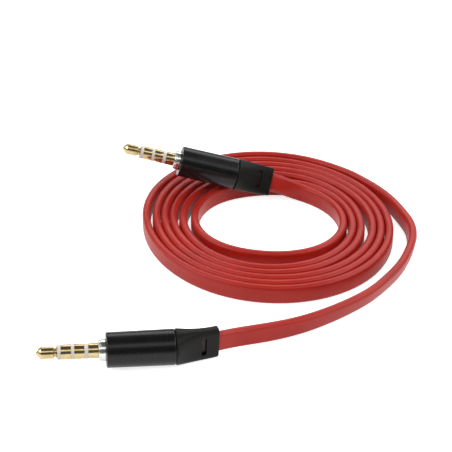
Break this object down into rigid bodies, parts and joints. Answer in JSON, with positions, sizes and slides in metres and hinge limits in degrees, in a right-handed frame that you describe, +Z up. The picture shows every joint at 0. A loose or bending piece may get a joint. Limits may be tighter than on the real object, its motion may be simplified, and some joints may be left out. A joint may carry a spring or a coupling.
{
  "type": "audio patch cable",
  "caption": "Flat cable wound on edge in a loose coil, with a slim straight jack plug on each end: nose, contact rings, collar, round barrel and a strain relief that tapers to the flat cable.",
  "frame": {"origin": "on the surface that the cable lies on, under the middle of the two plugs' common box", "axes": "+Z up; -X is roughly the way that both plugs' tips point; +Y runs from plug B at the front to plug A, which leans on the coil at the back"},
  "size_m": [0.0934, 0.1022, 0.0185],
  "materials": {
    "jacket": "smooth, satin",
    "contact": "gold plated, polished",
    "insulator": "smooth",
    "collar": "nickel plated",
    "barrel": "glossy black",
    "boot": "matt charcoal",
    "block": "moulded",
    "core": "smooth, one colour for each core"
  },
  "bodies": {
    "root": {"cable_lead": "jacket", "cable_coil": "jacket", "cable_tail": "jacket", "tip_a": "contact", "tip_bush_a": "insulator", "ring_one_a": "contact", "one_bush_a": "insulator", "ring_two_a": "contact", "two_bush_a": "insulator", "sleeve_a": "contact", "collar_a": "collar", "block_a": "block", "cores_a": "core", "barrel_a": "barrel", "boot_a": "boot", "tip_b": "contact", "tip_bush_b": "insulator", "ring_one_b": "contact", "one_bush_b": "insulator", "ring_two_b": "contact", "two_bush_b": "insulator", "sleeve_b": "contact", "collar_b": "collar", "block_b": "block", "cores_b": "core", "barrel_b": "barrel", "boot_b": "boot"}
  },
  "joints": []
}
